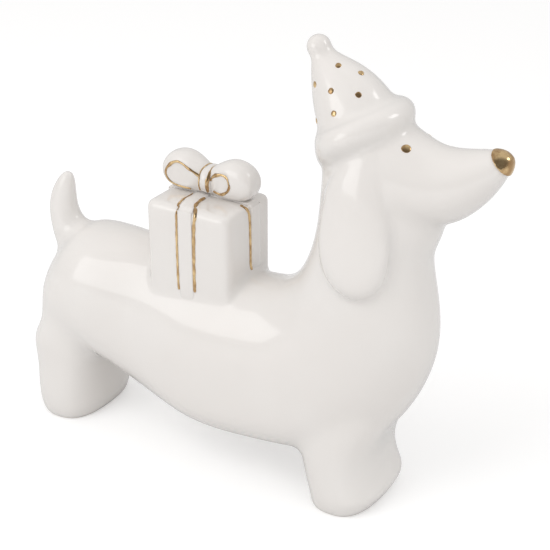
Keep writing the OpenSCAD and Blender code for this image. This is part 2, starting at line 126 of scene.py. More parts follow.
def swept(name, rows, steps=2, sides=24, levels=2):
    """Sweeps a ring through the rows of a form, as clay is built up through its sections."""
    bpy.ops.mesh.primitive_circle_add(vertices=sides, radius=1, fill_type="NGON")
    form = bpy.context.object
    form.name = name
    shape = (2.0, 0.5)
    bpy.ops.object.mode_set(mode="EDIT")
    bpy.ops.mesh.select_all(action="SELECT")
    swell = 3 / (2 + math.cos(2 * math.pi / sides))
    centre, reach, half, turn = Vector((0, 0, 0)), 1.0, 1.0, 0.0
    for i, (outer, inner, width, across, *wanted) in enumerate(smoothed(rows, steps)):
        span = (outer - inner) / 2
        heading = math.atan2(span.y, span.x)
        heading += 2 * math.pi * round((turn - heading) / (2 * math.pi))
        target = Vector(((outer.x + inner.x) / 2, across, (outer.y + inner.y) / 2))
        if i:
            bpy.ops.mesh.extrude_region_move()
            bpy.ops.transform.rotate(value=-turn, orient_axis="Y", center_override=centre)
        bpy.ops.transform.resize(
            value=(span.length * swell / reach, width * swell / half, 1), center_override=centre)
        bpy.ops.transform.rotate(value=heading, orient_axis="Y", center_override=centre)
        bpy.ops.transform.translate(value=target - centre)
        centre, reach, half, turn = target, span.length * swell, width * swell, heading
        if max(abs(a - b) for a, b in zip(wanted, shape)) > 1e-6:
            bpy.ops.object.mode_set(mode="OBJECT")
            long_way = Vector((math.cos(heading), 0, math.sin(heading)))
            for v in form.data.vertices:
                if v.select:
                    lift, out = reshaped(
                        (v.co - centre).dot(long_way) / reach, (v.co.y - centre.y) / half, shape, wanted)
                    v.co = centre + long_way * (lift * reach) + Vector((0, out * half, 0))
            bpy.ops.object.mode_set(mode="EDIT")
            shape = wanted
    bpy.ops.mesh.select_all(action="SELECT")
    bpy.ops.mesh.normals_make_consistent(inside=False)
    bpy.ops.object.mode_set(mode="OBJECT")
    finish_with(form, "SUBSURF", levels=levels, render_levels=levels)
    return form


clay["trunk"] = swept(
    "trunk", rows_at(TRUNK_SHARES, TRUNK_AT, TRUNK_SIZE, TRUNK_SQUARES, TRUNK_WIDEST_SHARES))

# Head
# Long rounded muzzle and low forehead, cast in one with the neck.
# Its lower jaw runs back into the chest.
HEAD_AT = (0.02676, 0, 0.09997)
HEAD_SIZE = (0.059, 0.0276, 0.031)
HEAD_SHARES = [
    (0.004, 0.613, 0.004, 0.387, 0.22),
    (0.055, 0.871, 0.072, 0.226, 0.65),
    (0.205, 0.984, 0.225, 0.058, 0.97),
    (0.383, 1.000, 0.417, 0.012, 1.00),
    (0.500, 0.908, 0.550, 0.000, 0.91),
    (0.617, 0.826, 0.668, 0.056, 0.80),
    (0.750, 0.838, 0.790, 0.180, 0.68),
    (0.867, 0.884, 0.903, 0.397, 0.51),
    (0.950, 0.897, 0.978, 0.630, 0.31),
    (1.000, 0.842, 1.004, 0.772, 0.09)]
clay["head"] = swept("head", rows_at(HEAD_SHARES, HEAD_AT, HEAD_SIZE))

# Hind leg block
# Both hind legs in one block of the same casting, wider than the rump and flat underneath.
LEG_SIZE = (0.025, 0.038, 0.044)
HIND_AT = (-0.07225, 0, 0)
HIND_SHARES = [
    (0.560, 1.000, -0.340, 1.000, 0.82),
    (0.580, 0.818, -0.424, 0.818, 0.91),
    (0.552, 0.636, -0.572, 0.659, 0.94),
    (0.500, 0.432, -0.522, 0.455, 0.95),
    (0.480, 0.261, -0.518, 0.273, 0.97),
    (0.480, 0.132, -0.508, 0.136, 0.97),
    (0.448, 0.059, -0.472, 0.059, 0.95),
    (0.420, 0.014, -0.445, 0.014, 0.91),
    (0.340, -0.030, -0.390, -0.030, 0.84)]
clay["hind legs"] = swept("hind legs", rows_at(HIND_SHARES, HIND_AT, LEG_SIZE, 2.6))

# Front leg block
# Both front legs in one block, run up into the chest in front and leaning back below the belly.
FRONT_AT = (0.03979, 0, 0)
FRONT_SHARES = [
    (0.650, 0.955, -1.080, 0.909, 0.87),
    (0.575, 0.727, -0.840, 0.682, 0.92),
    (0.455, 0.568, -0.700, 0.523, 0.95),
    (0.390, 0.398, -0.600, 0.364, 0.97),
    (0.430, 0.245, -0.536, 0.227, 0.99),
    (0.520, 0.127, -0.484, 0.127, 1.00),
    (0.464, 0.057, -0.455, 0.057, 0.98),
    (0.425, 0.014, -0.440, 0.014, 0.95),
    (0.350, -0.030, -0.390, -0.030, 0.87)]
clay["front legs"] = swept("front legs", rows_at(FRONT_SHARES, FRONT_AT, LEG_SIZE, 2.6))

# Tail
# Short solid tail, rolled by hand and stuck to the rump with slip, its tip curled in.
TAIL_AT = (-0.08232, 0, 0.05902)
TAIL_SIZE = (0.012, 0.012, 0.030)
TAIL_SHARES = [
    (0.210, 0.000, 1.560, 0.200, 1.00),
    (0.050, 0.280, 1.090, 0.400, 0.88),
    (-0.010, 0.503, 0.880, 0.533, 0.78),
    (0.070, 0.690, 0.850, 0.673, 0.68),
    (0.240, 0.835, 0.850, 0.800, 0.56),
    (0.440, 0.945, 0.850, 0.905, 0.40),
    (0.620, 1.003, 0.800, 0.985, 0.17)]
clay["tail"] = swept("tail", rows_at(TAIL_SHARES, TAIL_AT, TAIL_SIZE))

# Ears
# Two flat drooping ears, pressed in a mould and stuck to the sides of the head, mirror images.
EAR_AT = (0.03461, -0.0100, 0.12347)
EAR_SIZE = (0.024, 0.0100, 0.045)
EAR_SHARES = [
    (0.600, 0.040, 0.300, 0.030, 0.50, 0.000),
    (0.700, -0.060, 0.140, -0.080, 0.74, 0.020),
    (0.795, -0.215, -0.010, -0.245, 0.87, 0.045),
    (0.855, -0.400, -0.060, -0.440, 0.94, 0.073),
    (0.898, -0.600, -0.076, -0.640, 0.97, 0.100),
    (0.885, -0.780, 0.008, -0.815, 1.00, 0.122),
    (0.795, -0.893, 0.195, -0.924, 0.86, 0.137),
    (0.660, -0.957, 0.390, -0.978, 0.44, 0.145)]
clay["right ear"] = swept("right ear", rows_at(EAR_SHARES, EAR_AT, EAR_SIZE))
bpy.ops.object.duplicate()
clay["left ear"] = bpy.context.object
clay["left ear"].name = "left ear"
bpy.ops.object.mode_set(mode="EDIT")
bpy.ops.mesh.select_all(action="SELECT")
bpy.ops.transform.resize(value=(1, -1, 1), center_override=(0, 0, 0))
bpy.ops.mesh.normals_make_consistent(inside=False)
bpy.ops.object.mode_set(mode="OBJECT")

# Hat brim
# Thick turned-up brim of the party hat, a solid roll round the foot of the cone, thinner in front.
HAT_AT = Vector((0.03903, 0.12558))
HAT_TILT = math.radians(29)
BRIM_SIZE = (0.032, 0.0128)
BRIM_SHARES = [
    (-0.51, 0.78, -0.38, 0.56, 0.52),
    (-0.48, 0.98, -0.37, 0.82, 0.71),
    (-0.32, 1.03, -0.20, 0.99, 0.90),
    (-0.08, 0.97, 0.03, 1.04, 1.03),
    (0.17, 0.87, 0.24, 0.98, 1.03),
    (0.37, 0.79, 0.41, 0.82, 0.90),
    (0.45, 0.60, 0.47, 0.58, 0.63)]


def hat_point(along, out):
    """Place in the dog's middle plane from a height and a reach measured on the tilted hat."""
    return HAT_AT + Vector((
        -math.sin(HAT_TILT) * along + math.cos(HAT_TILT) * out,
        math.cos(HAT_TILT) * along + math.sin(HAT_TILT) * out))


def hat_rows(shares, width, height):
    """Rows of a form of the hat from its shares: heights and reaches at the back and the front."""
    return [(
        hat_point(height * s[0], -width * s[1] / 2),
        hat_point(height * s[2], width * s[3] / 2),
        width * s[4] / 2, 0, 2.0, 0.5) for s in shares]


clay["brim"] = swept("brim", hat_rows(BRIM_SHARES, *BRIM_SIZE))

# Hat cone
# Hollow cast cone of the party hat, its tip bent back a little.
CONE_SIZE = (0.026, 0.0255)
CONE_SHARES = [
    (-0.22, 0.88, -0.22, 0.88, 0.88),
    (0.07, 1.00, 0.07, 1.00, 1.00),
    (0.28, 0.90, 0.28, 0.93, 0.88),
    (0.50, 0.82, 0.50, 0.80, 0.735),
    (0.72, 0.67, 0.72, 0.54, 0.55),
    (0.89, 0.53, 0.89, 0.23, 0.38),
    (1.00, 0.42, 1.00, 0.08, 0.24),
    (1.05, 0.30, 1.05, -0.05, 0.12)]
clay["cone"] = swept("cone", hat_rows(CONE_SHARES, *CONE_SIZE))

# Hat bobble
# Small solid ball stuck to the tip of the cone.
BOBBLE_D = 0.0076
BOBBLE_UP_SHARE = 0.26
BOBBLE_BACK_SHARE = 0.17
tip = hat_point(CONE_SIZE[1] + BOBBLE_D * BOBBLE_UP_SHARE, -CONE_SIZE[0] / 2 * BOBBLE_BACK_SHARE)
bpy.ops.mesh.primitive_uv_sphere_add(
    segments=32, ring_count=16, radius=BOBBLE_D / 2, location=(tip.x, 0, tip.y))
clay["bobble"] = bpy.context.object
clay["bobble"].name = "bobble"
bpy.ops.object.transform_apply(location=True, rotation=False, scale=False)

# Gift box
# Hollow cast box with softly rounded edges, sunk into the back and fixed with slip, open underneath.
GIFT_AT = (-0.01646, 0, 0.0702)
GIFT_SIZE = (0.0316, 0.0258, 0.0222)
GIFT_ROOT = 0.018
GIFT_EDGE = 0.0022
bpy.ops.mesh.primitive_cube_add(size=1)
clay["gift"] = bpy.context.object
clay["gift"].name = "gift"
bpy.ops.object.mode_set(mode="EDIT")
bpy.ops.mesh.select_all(action="SELECT")
bpy.ops.transform.resize(value=(GIFT_SIZE[0], GIFT_SIZE[1], GIFT_SIZE[2] + GIFT_ROOT))
bpy.ops.transform.translate(value=(GIFT_AT[0], 0, GIFT_AT[2] + (GIFT_SIZE[2] - GIFT_ROOT) / 2))
bpy.ops.mesh.bevel(offset=GIFT_EDGE, segments=5, affect="EDGES")
bpy.ops.object.mode_set(mode="OBJECT")

# Glaze over the clay
# All the clay is stuck together wet and glazed at once, so the glaze pools in the creases.
# The skin of the joined clay is swollen and shrunk again to fill its creases, smoothed most where
# two forms meet, and then parted again at the joins.
SKIN_GRAIN = 0.00066
SEAM_DEPTH = 0.0008
POOL = 0.0011
# Forms that meet, how far from their meeting line the glaze is smoothed, and how many times
JOINS = [
    (("trunk", "head", "hind legs", "front legs"), 0.0057, 60),
    (("trunk", "gift"), 0.0012, 4),
    (("trunk", "hind legs", "tail"), 0.0058, 60),
    (("cone", "bobble"), 0.0014, 8)]
JOIN_GAIN = 1.6
# The smoothing fades out towards any other form, over the width of a crease, and stops where it touches
CREASE = 0.0022
TOUCHING = 0.0004
NEAR = 0.006
NODES = {
    "body": ("trunk", "head", "hind legs", "front legs"),
    "tail": ("tail",), "ear_left": ("left ear",), "ear_right": ("right ear",),
    "hat_brim": ("brim",), "hat_cone": ("cone",), "hat_bobble": ("bobble",), "gift_box": ("gift",)}
bpy.ops.object.select_all(action="DESELECT")
for form in clay.values():
    form.select_set(True)
bpy.context.view_layer.objects.active = clay["trunk"]
bpy.ops.object.duplicate()
bpy.ops.object.join()
skin = bpy.context.object
skin.name = "skin"
finish_with(skin, "REMESH", mode="VOXEL", voxel_size=SKIN_GRAIN, adaptivity=0)
finish_with(skin, "DISPLACE", strength=POOL, mid_level=0)
finish_with(skin, "REMESH", mode="VOXEL", voxel_size=SKIN_GRAIN, adaptivity=0)
finish_with(skin, "SMOOTH", factor=0.5, iterations=2)
finish_with(skin, "DISPLACE", strength=-POOL, mid_level=0)


def surface_of(*over):
    """Surface of one or more pieces taken together."""
    places, faces = [], []
    for piece in over:
        faces += [[k + len(places) for k in p.vertices] for p in piece.data.polygons]
        places += [v.co.copy() for v in piece.data.vertices]
    return BVHTree.FromPolygons(places, faces)


surfaces = {name: surface_of(form) for name, form in clay.items()}
boxes = {name: [
    (min(v.co[k] for v in form.data.vertices), max(v.co[k] for v in form.data.vertices)) for k in range(3)]
    for name, form in clay.items()}


def distance_to(name, place):
    """Distance from a place to the surface of one clay form, if that is near."""
    if any(place[k] < boxes[name][k][0] - NEAR or place[k] > boxes[name][k][1] + NEAR for k in range(3)):
        return NEAR
    found = surfaces[name].find_nearest(place, NEAR)[3]
    return NEAR if found is None else found


reaches = [{name: distance_to(name, v.co) for name in clay} for v in skin.data.vertices]
for forms, zone, times in JOINS:
    group = skin.vertex_groups.new(name="join")
    for i, reach in enumerate(reaches):
        second = sorted(reach[name] for name in forms)[1]
        others = min(reach[name] for name in clay if name not in forms)
        if second < zone and others > TOUCHING:
            share = min(1.0, JOIN_GAIN * (1 - second / zone)) * min(1.0, others / CREASE)
            group.add([i], share, "REPLACE")
    finish_with(skin, "SMOOTH", factor=0.5, iterations=times, vertex_group="join")
    skin.vertex_groups.remove(skin.vertex_groups["join"])
finish_with(skin, "REMESH", mode="VOXEL", voxel_size=SKIN_GRAIN, adaptivity=0)
finish_with(skin, "SMOOTH", factor=0.5, iterations=6)

# The feet are ground flat, and an air hole is pierced in the belly
bpy.ops.object.mode_set(mode="EDIT")
bpy.ops.mesh.select_all(action="SELECT")
bpy.ops.mesh.bisect(plane_co=(0, 0, 0), plane_no=(0, 0, 1), use_fill=True, clear_inner=True, threshold=1e-7)
bpy.ops.mesh.normals_make_consistent(inside=False)
bpy.ops.object.mode_set(mode="OBJECT")

VENT_D = 0.003
VENT_L = 0.012
VENT_Z = 0.0112
bpy.ops.mesh.primitive_cylinder_add(
    vertices=24, radius=VENT_D / 2, depth=VENT_L, location=(GIFT_AT[0], 0, VENT_Z))
vent = bpy.context.object
finish_with(skin, "BOOLEAN", operation="DIFFERENCE", solver="EXACT", object=vent)
bpy.data.objects.remove(vent)

normals = skin.data.attributes.new("glaze normal", "FLOAT_VECTOR", "POINT")
for v in skin.data.vertices:
    normals.data[v.index].vector = v.normal


def nearest_node(place):
    """Node whose clay lies nearest to a place on the skin."""
    return min(NODES, key=lambda node: min(distance_to(name, place) for name in NODES[node]))


owner = [nearest_node(p.center) for p in skin.data.polygons]


def settled(owner, faces, rounds=6):
    """The same owners with each face that lies among another piece's faces given to that piece."""
    by_corner = {}
    for p in faces:
        for corner in p.vertices:
            by_corner.setdefault(corner, []).append(p.index)
    for _ in range(rounds):
        changed = list(owner)
        for p in faces:
            around = [owner[j] for corner in p.vertices for j in by_corner[corner] if j != p.index]
            most = max(set(around), key=around.count) if around else owner[p.index]
            if around.count(most) * 2 > len(around) and most != owner[p.index]:
                changed[p.index] = most
        owner = changed
    return owner


owner = settled(owner, skin.data.polygons)
pieces = {}
for node in NODES:
    bpy.ops.object.select_all(action="DESELECT")
    skin.select_set(True)
    bpy.context.view_layer.objects.active = skin
    bpy.ops.object.duplicate()
    piece = bpy.context.object
    piece.name = "glazed_" + node
    bpy.ops.object.mode_set(mode="EDIT")
    bpy.ops.mesh.select_mode(type="FACE")
    bpy.ops.mesh.select_all(action="DESELECT")
    bpy.ops.object.mode_set(mode="OBJECT")
    for p in piece.data.polygons:
        p.select = owner[p.index] != node
    bpy.ops.object.mode_set(mode="EDIT")
    bpy.ops.mesh.delete(type="FACE")
    bpy.ops.mesh.select_mode(type="EDGE")
    bpy.ops.mesh.select_all(action="DESELECT")
    bpy.ops.mesh.select_non_manifold()
    bpy.ops.mesh.extrude_region_move()
    bpy.ops.object.mode_set(mode="OBJECT")
    kept = piece.data.attributes["glaze normal"].data
    for v in piece.data.vertices:
        if v.select:
            v.co -= kept[v.index].vector * SEAM_DEPTH
    bpy.ops.object.mode_set(mode="EDIT")
    bpy.ops.mesh.select_all(action="SELECT")
    bpy.ops.mesh.fill_holes(sides=0)
    bpy.ops.object.mode_set(mode="OBJECT")
    bpy.ops.object.shade_smooth()
    piece.data.normals_split_custom_set_from_vertices(
        [tuple(kept.vector) for kept in piece.data.attributes["glaze normal"].data])
    pieces[node] = piece


class Field:
    """A value of a material that varies over the surface and is worked out like a number."""

    def __init__(self, material, socket):
        self.material, self.socket = material, socket

    def maths(self, operation, *others):
        return self.material.add("ShaderNodeMath", {"operation": operation}, {
            i: value for i, value in enumerate((self, *others))})

    def __add__(self, other):
        return self.maths("ADD", other)

    def __mul__(self, other):
        return self.maths("MULTIPLY", other)

    def __sub__(self, other):
        return self.maths("SUBTRACT", other)

    def __rsub__(self, other):
        return self.material.add("ShaderNodeMath", {"operation": "SUBTRACT"}, {0: other, 1: self})

    __radd__, __rmul__ = __add__, __mul__

    def between(self, low, high):
        """Zero below the low limit, one above the high limit and a soft step between them."""
        return self.material.add(
            "ShaderNodeMapRange", {"interpolation_type": "SMOOTHSTEP"},
            {"Value": self, "From Min": low, "From Max": high})


class Finish:
    """One material: its nodes, made by type, and the surface that they lead into."""

    def __init__(self, name):
        self.data = bpy.data.materials.new(name)
        self.data.use_nodes = True
        self.tree = self.data.node_tree
        self.surface = self.tree.nodes["Principled BSDF"]
        self.place = self.add("ShaderNodeTexCoord", {}, {}, "Object")

    def add(self, kind, settings, inputs, output=0):
        made = self.tree.nodes.new(kind)
        for setting, value in settings.items():
            setattr(made, setting, value)
        for name, value in inputs.items():
            self.put(made.inputs[name], value)
        return Field(self, made.outputs[output])

    def put(self, socket, value):
        if isinstance(value, Field):
            self.tree.links.new(value.socket, socket)
        else:
            socket.default_value = value

    def noise(self, scale, detail=2.0, stretch=None):
        place = self.place
        if stretch:
            place = self.add("ShaderNodeVectorMath", {"operation": "MULTIPLY"}, {0: place, 1: stretch})
        return self.add("ShaderNodeTexNoise", {}, {"Vector": place, "Scale": scale, "Detail": detail}, "Fac")

    def mixed(self, share, first, second):
        return self.add(
            "ShaderNodeMix", {"data_type": "RGBA"},
            {"Factor": share, 6: (*first, 1) if isinstance(first, tuple) else first,
             7: (*second, 1) if isinstance(second, tuple) else second}, 2)

    def finish(self, **inputs):
        for name, value in inputs.items():
            self.put(self.surface.inputs[name.replace("_", " ")], value)
        return self.data


WARM_WHITE = (0.785, 0.753, 0.724)
PALE_WHITE = (0.800, 0.772, 0.745)
BARE_CLAY = (0.74, 0.70, 0.64)
WIPED = (0.0001, 0.0005)
glaze = Finish("clear glaze on warm white porcelain")
tone = glaze.noise(28.0)
height = glaze.add("ShaderNodeSeparateXYZ", {}, {0: glaze.place}, "Z")
bare = 1 - height.between(*WIPED)
tint = glaze.mixed(tone.between(0.35, 0.65), WARM_WHITE, PALE_WHITE)
ripple = glaze.noise(70.0, 1.0) + 0.25 * glaze.noise(260.0, 1.0)
bump = glaze.add("ShaderNodeBump", {}, {"Strength": 0.12, "Distance": 0.0006, "Height": ripple}, "Normal")
porcelain = glaze.finish(
    Base_Color=glaze.mixed(bare, tint, BARE_CLAY),
    Roughness=0.16 + 0.5 * bare + 0.04 * tone,
    Normal=bump, Coat_Weight=1 - bare, Coat_Roughness=0.035, IOR=1.5)


def glazed(piece, node):
    """Gives a piece the glaze and its place in the frame."""
    piece.data.materials.clear()
    piece.data.materials.append(porcelain)
    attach(piece, "root")
    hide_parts(node)


for node, piece in pieces.items():
    glazed(piece, node)
bpy.data.objects.remove(skin)

# Ribbon bands
# Two raised bands of clay laid crosswise over the box, with soft edges under the glaze.
# The one across bends towards the tail on top of the box. Their feet sink into the glaze on the back.
RIBBON_W = 0.0053
RIBBON_T = 0.0006
RIBBON_AT = (-0.01677, 0.00258, 0.0930)
ALONG_BY = 0.0033
ALONG_FOOT = 0.064
ACROSS_FOOT = 0.0598
BAND_DEPTH = 0.0012
BAND_SQUARE = 3.2
FOOT_RISE = 0.0035
FOOT_SINK = 0.0009
BEND_BY = 0.0019
BEND_ABOVE = 0.0912
BEND_FROM = 0.0122
BEND_OVER = 0.0065


def band(name, half, foot):
    """One band over a box of half a length, from its foot on one side to its foot on the other."""
    half += RIBBON_T
    top = GIFT_AT[2] + GIFT_SIZE[2] + RIBBON_T
    edge = GIFT_EDGE + RIBBON_T
    corner = half - edge
    climb = [
        (180, Vector((-half + FOOT_SINK, foot))),
        (180, Vector((-half, foot + FOOT_RISE))),
        (180, Vector((-half, top - edge)))]
    for angle in (157, 135, 112):
        turn = math.radians(angle)
        climb.append((angle, Vector((-corner, top - edge)) + Vector((math.cos(turn), math.sin(turn))) * edge))
    climb.append((90, Vector((-corner, top))))
    descent = [(180 - angle, Vector((-place.x, place.y))) for angle, place in reversed(climb)]
    rows = []
    for angle, place in climb + [(90, Vector((0, top)))] + descent:
        out = Vector((math.cos(math.radians(angle)), math.sin(math.radians(angle))))
        rows.append((place, place - out * BAND_DEPTH, RIBBON_W / 2, 0, BAND_SQUARE, 0.5))
    return swept(name, rows, steps=2, sides=20)


ribbon_along = band("glazed_ribbon_along", GIFT_SIZE[0] / 2, ALONG_FOOT)
bpy.ops.object.mode_set(mode="EDIT")
bpy.ops.mesh.select_all(action="SELECT")
bpy.ops.transform.translate(value=(GIFT_AT[0], ALONG_BY, 0))
bpy.ops.object.mode_set(mode="OBJECT")
ribbon_across = band("glazed_ribbon_across", GIFT_SIZE[1] / 2, ACROSS_FOOT)
bpy.ops.object.mode_set(mode="EDIT")
bpy.ops.mesh.select_all(action="SELECT")
bpy.ops.transform.rotate(value=math.radians(90), orient_axis="Z", center_override=(0, 0, 0))
bpy.ops.transform.translate(value=(RIBBON_AT[0], 0, 0))
bpy.ops.object.mode_set(mode="OBJECT")
for v in ribbon_across.data.vertices:
    if v.co.z > BEND_ABOVE:
        v.co.x -= BEND_BY * min(1.0, max(0.0, (BEND_FROM - abs(v.co.y)) / BEND_OVER))
for piece, node in ((ribbon_along, "ribbon_along"), (ribbon_across, "ribbon_across")):
    bpy.context.view_layer.objects.active = piece
    piece.select_set(True)
    bpy.ops.object.shade_smooth()
    glazed(piece, node)

# Bow
# Two solid loops with dished sides and a knot between them, pressed from clay and stuck to the box.
LOOP_L = 0.0171
LOOP_H = 0.0128
BOW_W = 0.0098
LOOP_SQUARE = 2.6
LOOP_GRAIN = 0.00028
LOOP_SHARES = [
    (0, 0.560, 0, 0.320, 0.56),
    (0.040, 0.720, 0.040, 0.170, 0.78),
    (0.180, 0.910, 0.180, 0.010, 0.95),
    (0.440, 1.000, 0.440, -0.050, 1.00),
    (0.700, 0.900, 0.700, -0.040, 0.94),
    (1.000, 0.640, 1.000, -0.010, 0.66)]
DISH_SHARES = [
    (0, 0.560, 0, 0.300, 0.56),
    (0.040, 0.720, 0.040, 0.120, 0.78),
    (0.180, 0.900, 0.180, -0.020, 0.95),
    (0.440, 0.930, 0.440, -0.060, 1.00),
    (0.700, 0.760, 0.700, -0.060, 0.94),
    (1.000, 0.480, 1.000, 0.020, 0.66)]
RIM = 0.0016
DISH = 0.0009
DISH_SQUARE = 6.0
REAR_DISH = (-0.0152, 0.0142)
FRONT_DISH = (-0.0106, 0.0092)


def bow_loop(name, dish_at, dish_l, turned):
    """One loop of the bow, dished on both sides and softened by the glaze."""
    loop = swept(name, rows_at(LOOP_SHARES, (-LOOP_L, 0, 0), (LOOP_L, BOW_W, LOOP_H), LOOP_SQUARE))
    for side in (-1, 1):
        dish = swept("dish", rows_at(
            DISH_SHARES, (dish_at, side * (BOW_W - DISH), RIM), (dish_l, BOW_W, LOOP_H - 2 * RIM),
            DISH_SQUARE))
        finish_with(loop, "BOOLEAN", operation="DIFFERENCE", solver="EXACT", object=dish)
        bpy.data.objects.remove(dish)
    finish_with(loop, "REMESH", mode="VOXEL", voxel_size=LOOP_GRAIN, adaptivity=0)
    finish_with(loop, "SMOOTH", factor=0.5, iterations=8)
    bpy.ops.object.mode_set(mode="EDIT")
    bpy.ops.mesh.select_all(action="SELECT")
    if turned:
        bpy.ops.transform.rotate(value=math.pi, orient_axis="Z", center_override=(0, 0, 0))
    bpy.ops.transform.translate(value=RIBBON_AT)
    bpy.ops.object.mode_set(mode="OBJECT")
    bpy.ops.object.shade_smooth()
    return loop


loop_rear = bow_loop("glazed_loop_rear", *REAR_DISH, False)
loop_front = bow_loop("glazed_loop_front", *FRONT_DISH, True)
KNOT_SIZE = (0.0046, BOW_W * 1.08, LOOP_H * 0.72)
KNOT_SQUARE = 2.3
KNOT_SHARES = [
    (-0.50, 0.84, -0.50, 0.06, 0.70),
    (-0.38, 0.95, -0.38, 0.00, 0.92),
    (0.00, 1.00, 0.00, 0.00, 1.00),
    (0.38, 0.95, 0.38, 0.00, 0.92),
    (0.50, 0.84, 0.50, 0.06, 0.70)]
knot = swept("glazed_knot", rows_at(KNOT_SHARES, RIBBON_AT, KNOT_SIZE, KNOT_SQUARE))
bpy.ops.object.shade_smooth()
for piece, node in ((loop_rear, "bow_loop_rear"), (loop_front, "bow_loop_front"), (knot, "bow_knot")):
    glazed(piece, node)

# Gold of the nose
# Lustre brushed thickly over the nose in the shape of a heart, its point downwards.
THIN_GOLD = (0.50, 0.32, 0.16)
FULL_GOLD = (0.84, 0.62, 0.34)
lustre = Finish("brushed gold lustre")
wear = lustre.noise(330.0, 4.0)
streak = lustre.noise(900.0, 2.0, (1.0, 1.0, 0.35))
cover = (0.7 * wear + 0.3 * streak).between(0.38, 0.62)
rough = lustre.add("ShaderNodeBump", {}, {
    "Strength": 0.2, "Distance": 0.0002, "Height": wear + 0.3 * streak}, "Normal")
gold = lustre.finish(
    Base_Color=lustre.mixed(cover, THIN_GOLD, FULL_GOLD),
    Metallic=1.0, Roughness=0.22 - 0.12 * cover, Normal=rough)


def gilded(piece, node):
    """Gives a piece the lustre and its place in the frame."""
    piece.data.materials.clear()
    piece.data.materials.append(gold)
    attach(piece, "root")
    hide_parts(node)


NOSE_T = 0.0004
NOSE_GRAIN = 0.0002
# Places along and up the head, and radii, of a broad ball and a small one below it, which bound the heart
HEART_SHARES = [(1.02, 0.92, 0.12), (0.972, 0.735, 0.026)]
nose_rows = []
for outer, inner, width, *_ in rows_at(HEAD_SHARES, HEAD_AT, HEAD_SIZE):
    spread = (outer - inner).normalized() * NOSE_T
    ahead = Vector((NOSE_T, 0))
    nose_rows.append((outer + spread + ahead, inner - spread + ahead, width + NOSE_T, 0, 2.0, 0.5))
nose = swept("brushed_nose", nose_rows)
balls = []
for along, up, radius in HEART_SHARES:
    bpy.ops.mesh.primitive_uv_sphere_add(
        segments=32, ring_count=16, radius=HEAD_SIZE[0] * radius,
        location=(HEAD_AT[0] + HEAD_SIZE[0] * along, 0, HEAD_AT[2] + HEAD_SIZE[2] * up))
    balls.append(bpy.context.object)
for ball in balls:
    ball.select_set(True)
bpy.ops.object.join()
heart = bpy.context.object
bpy.ops.object.transform_apply(location=True, rotation=True, scale=True)
bpy.ops.object.mode_set(mode="EDIT")
bpy.ops.mesh.select_all(action="SELECT")
bpy.ops.mesh.convex_hull()
bpy.ops.object.mode_set(mode="OBJECT")
finish_with(nose, "BOOLEAN", operation="INTERSECT", solver="EXACT", object=heart)
bpy.data.objects.remove(heart)
finish_with(nose, "REMESH", mode="VOXEL", voxel_size=NOSE_GRAIN, adaptivity=0)
finish_with(nose, "SMOOTH", factor=0.5, iterations=4)
bpy.ops.object.shade_smooth()
gilded(nose, "nose_gold")

# Gold of the eyes
# One dab of lustre on each side of the head, set with the tip of a full brush.
EYE_AT = (0.0566, 0, 0.1187)
EYE_R = 0.0014
EYE_T = 0.00028
BESIDE = 0.05


def dab(name, place, normal, radius, thickness, seed):
    """A flat round dab of lustre with an uneven edge, half sunk into the glaze."""
    bpy.ops.mesh.primitive_uv_sphere_add(segments=28, ring_count=10, radius=1)
    made = bpy.context.object
    made.name = name
    uneven = random.Random(seed)
    waves = [(k, uneven.uniform(0.01, 0.04), uneven.uniform(0, 6.28)) for k in (2, 3, 4)]
    for v in made.data.vertices:
        turn = math.atan2(v.co.y, v.co.x)
        spread = radius * (1 + sum(size * math.cos(k * turn + start) for k, size, start in waves))
        v.co = Vector((v.co.x * spread, v.co.y * spread, v.co.z * thickness))
    turned = Vector((0, 0, 1)).rotation_difference(normal).to_matrix().to_4x4()
    made.data.transform(Matrix.Translation(place) @ turned)
    return made


head_surface = surface_of(pieces["body"])
for side, lift, node in ((-1, 45, "eye_gold_right"), (1, 33, "eye_gold_left")):
    out = Vector((0, side * math.cos(math.radians(lift)), math.sin(math.radians(lift))))
    place, normal, _, _ = head_surface.ray_cast(Vector(EYE_AT) + out * BESIDE, -out)
    eye = dab(node.replace("gold", "dab"), place, normal, EYE_R, EYE_T, 7 + side)
    bpy.ops.object.shade_smooth()
    gilded(eye, node)

# Dots on the hat
# Fourteen dabs of lustre spaced over the cone by hand, each at a share of its height and of a turn.
DOT_R = 0.00093
DOT_T = 0.0002
CONE_LEAN_SHARE = 0.04
DOT_SHARES = [
    (0.34, 0.24), (0.32, 0.39), (0.42, 0.11), (0.58, 0.22), (0.62, 0.03), (0.71, 0.34), (0.80, 0.11),
    (0.31, 0.57), (0.55, 0.50), (0.36, 0.74), (0.42, 0.86), (0.58, 0.68), (0.62, 0.84), (0.80, 0.62)]
cone_surface = surface_of(pieces["hat_cone"])
dots = []
for i, (share, turn) in enumerate(DOT_SHARES):
    axis = hat_point(CONE_SIZE[1] * share, -CONE_SIZE[0] * CONE_LEAN_SHARE * share)
    ahead = hat_point(CONE_SIZE[1] * share, CONE_SIZE[0]) - axis
    angle = 2 * math.pi * turn
    out = Vector((
        ahead.x * math.cos(angle), -ahead.length * math.sin(angle), ahead.y * math.cos(angle))).normalized()
    place, normal, _, _ = cone_surface.ray_cast(Vector((axis.x, 0, axis.y)) + out * BESIDE, -out)
    dots.append(dab("dot", place, normal, DOT_R, DOT_T, 40 + i))
bpy.ops.object.select_all(action="DESELECT")
for dot in dots:
    dot.select_set(True)
bpy.context.view_layer.objects.active = dots[0]
bpy.ops.object.join()
hat_dots = bpy.context.object
hat_dots.name = "dabbed_dots"
bpy.ops.object.shade_smooth()
gilded(hat_dots, "hat_dots")

